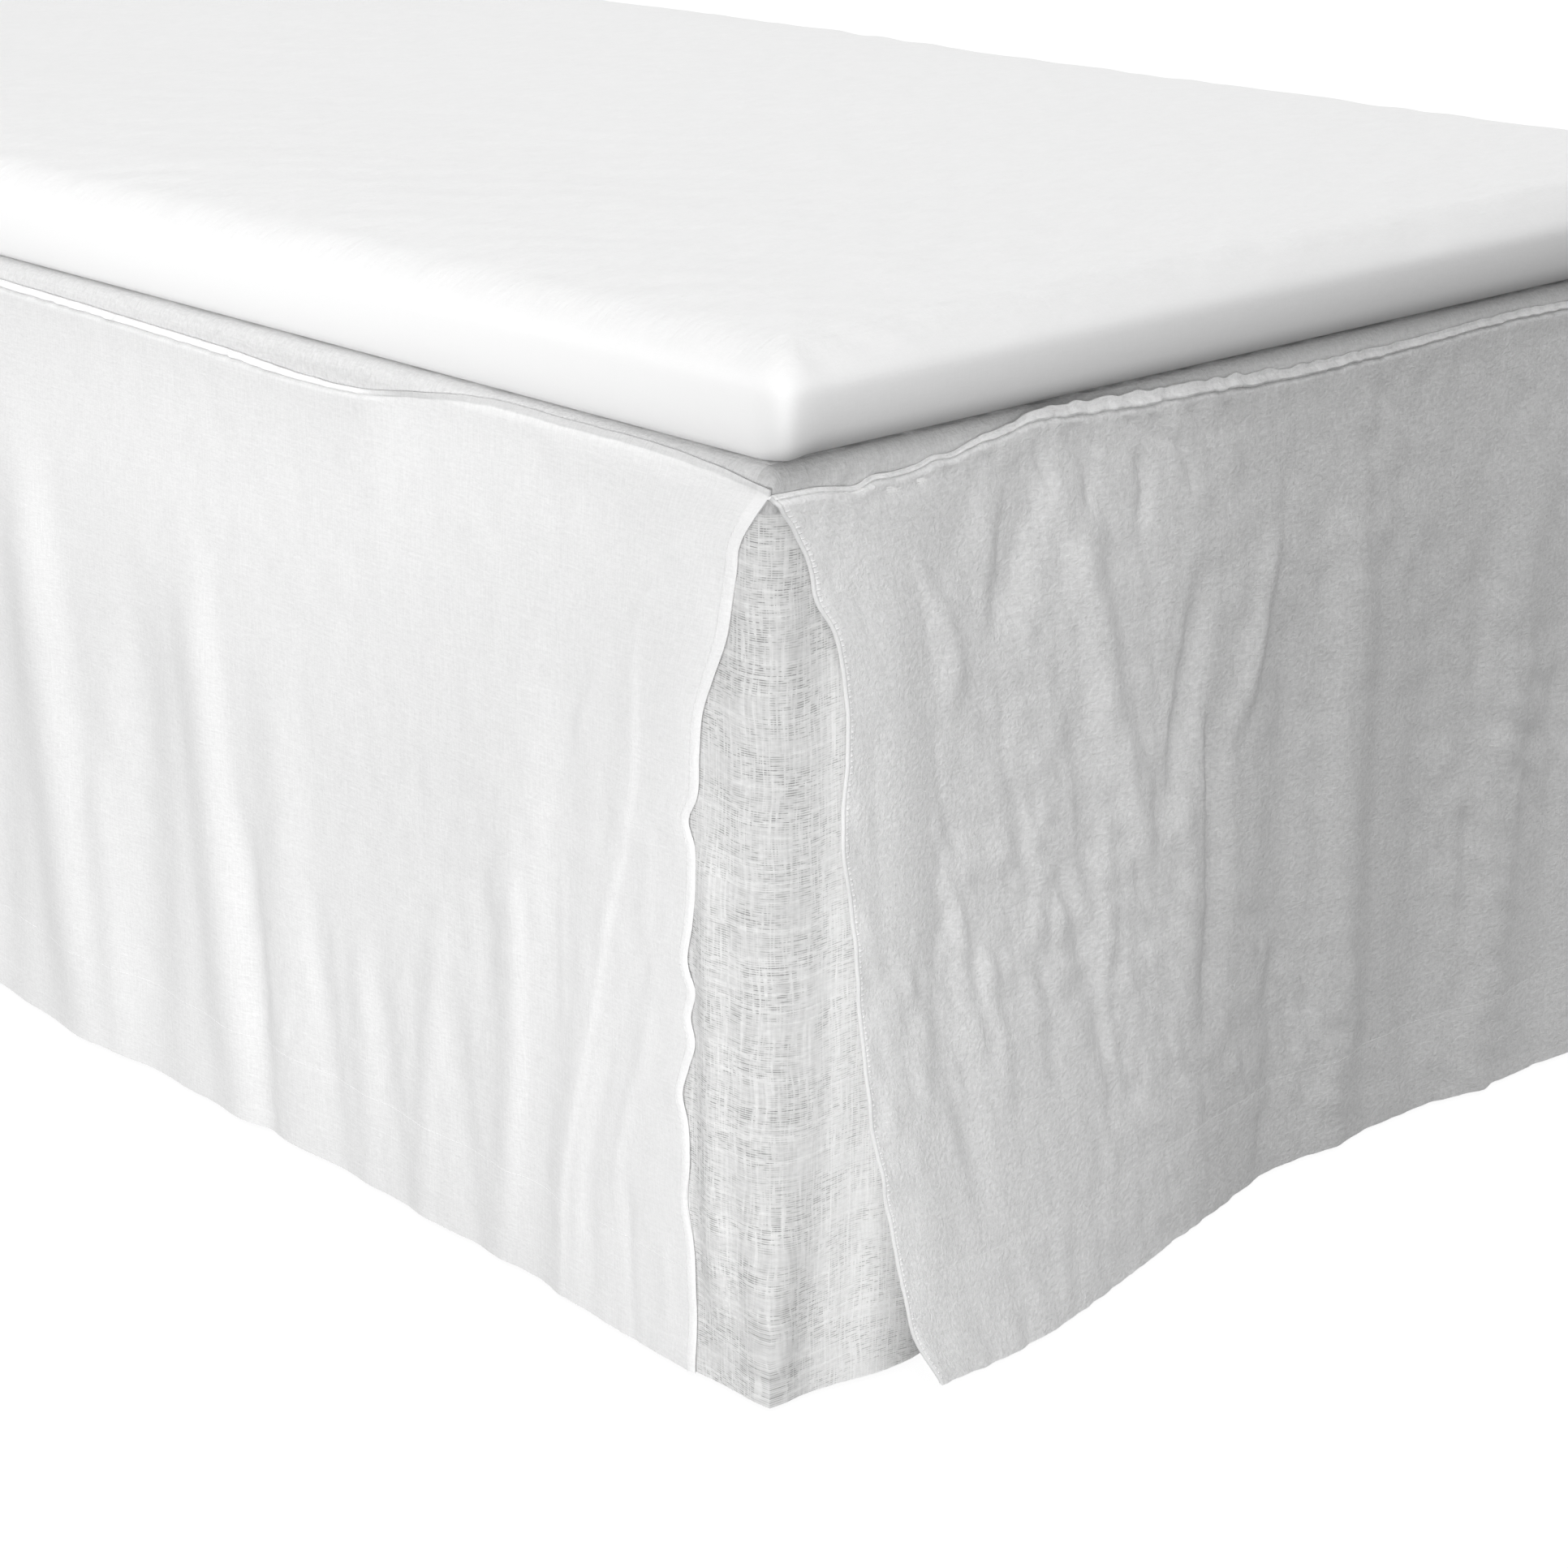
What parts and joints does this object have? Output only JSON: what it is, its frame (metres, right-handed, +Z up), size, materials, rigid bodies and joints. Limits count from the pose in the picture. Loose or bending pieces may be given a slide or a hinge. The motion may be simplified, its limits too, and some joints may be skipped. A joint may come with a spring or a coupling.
{
  "type": "bed skirt on a bed base with a mattress",
  "caption": "Linen bed skirt on a plain single bed: a deck under the mattress, drops to the floor on two sides and the foot, split foot corners with a gusset behind each.",
  "frame": {"origin": "centre of the whole object's footprint, on the floor", "axes": "+Z up, +Y towards the head of the bed, +X towards the right side as seen from the foot"},
  "size_m": [0.9472, 2.0558, 0.6001],
  "materials": {
    "linen": "washed, matte",
    "open_linen": "open weave, matte",
    "mattress_cover": "smooth, matte",
    "base_cover": "matte",
    "beech": "satin"
  },
  "bodies": {
    "root": {"deck": "linen", "drop_left": "linen", "drop_foot": "linen", "drop_right": "linen", "gusset_left": "open_linen", "gusset_right": "open_linen", "mattress": "mattress_cover", "bed_base": "base_cover", "leg_1": "beech", "leg_2": "beech", "leg_3": "beech", "leg_4": "beech"}
  },
  "joints": []
}
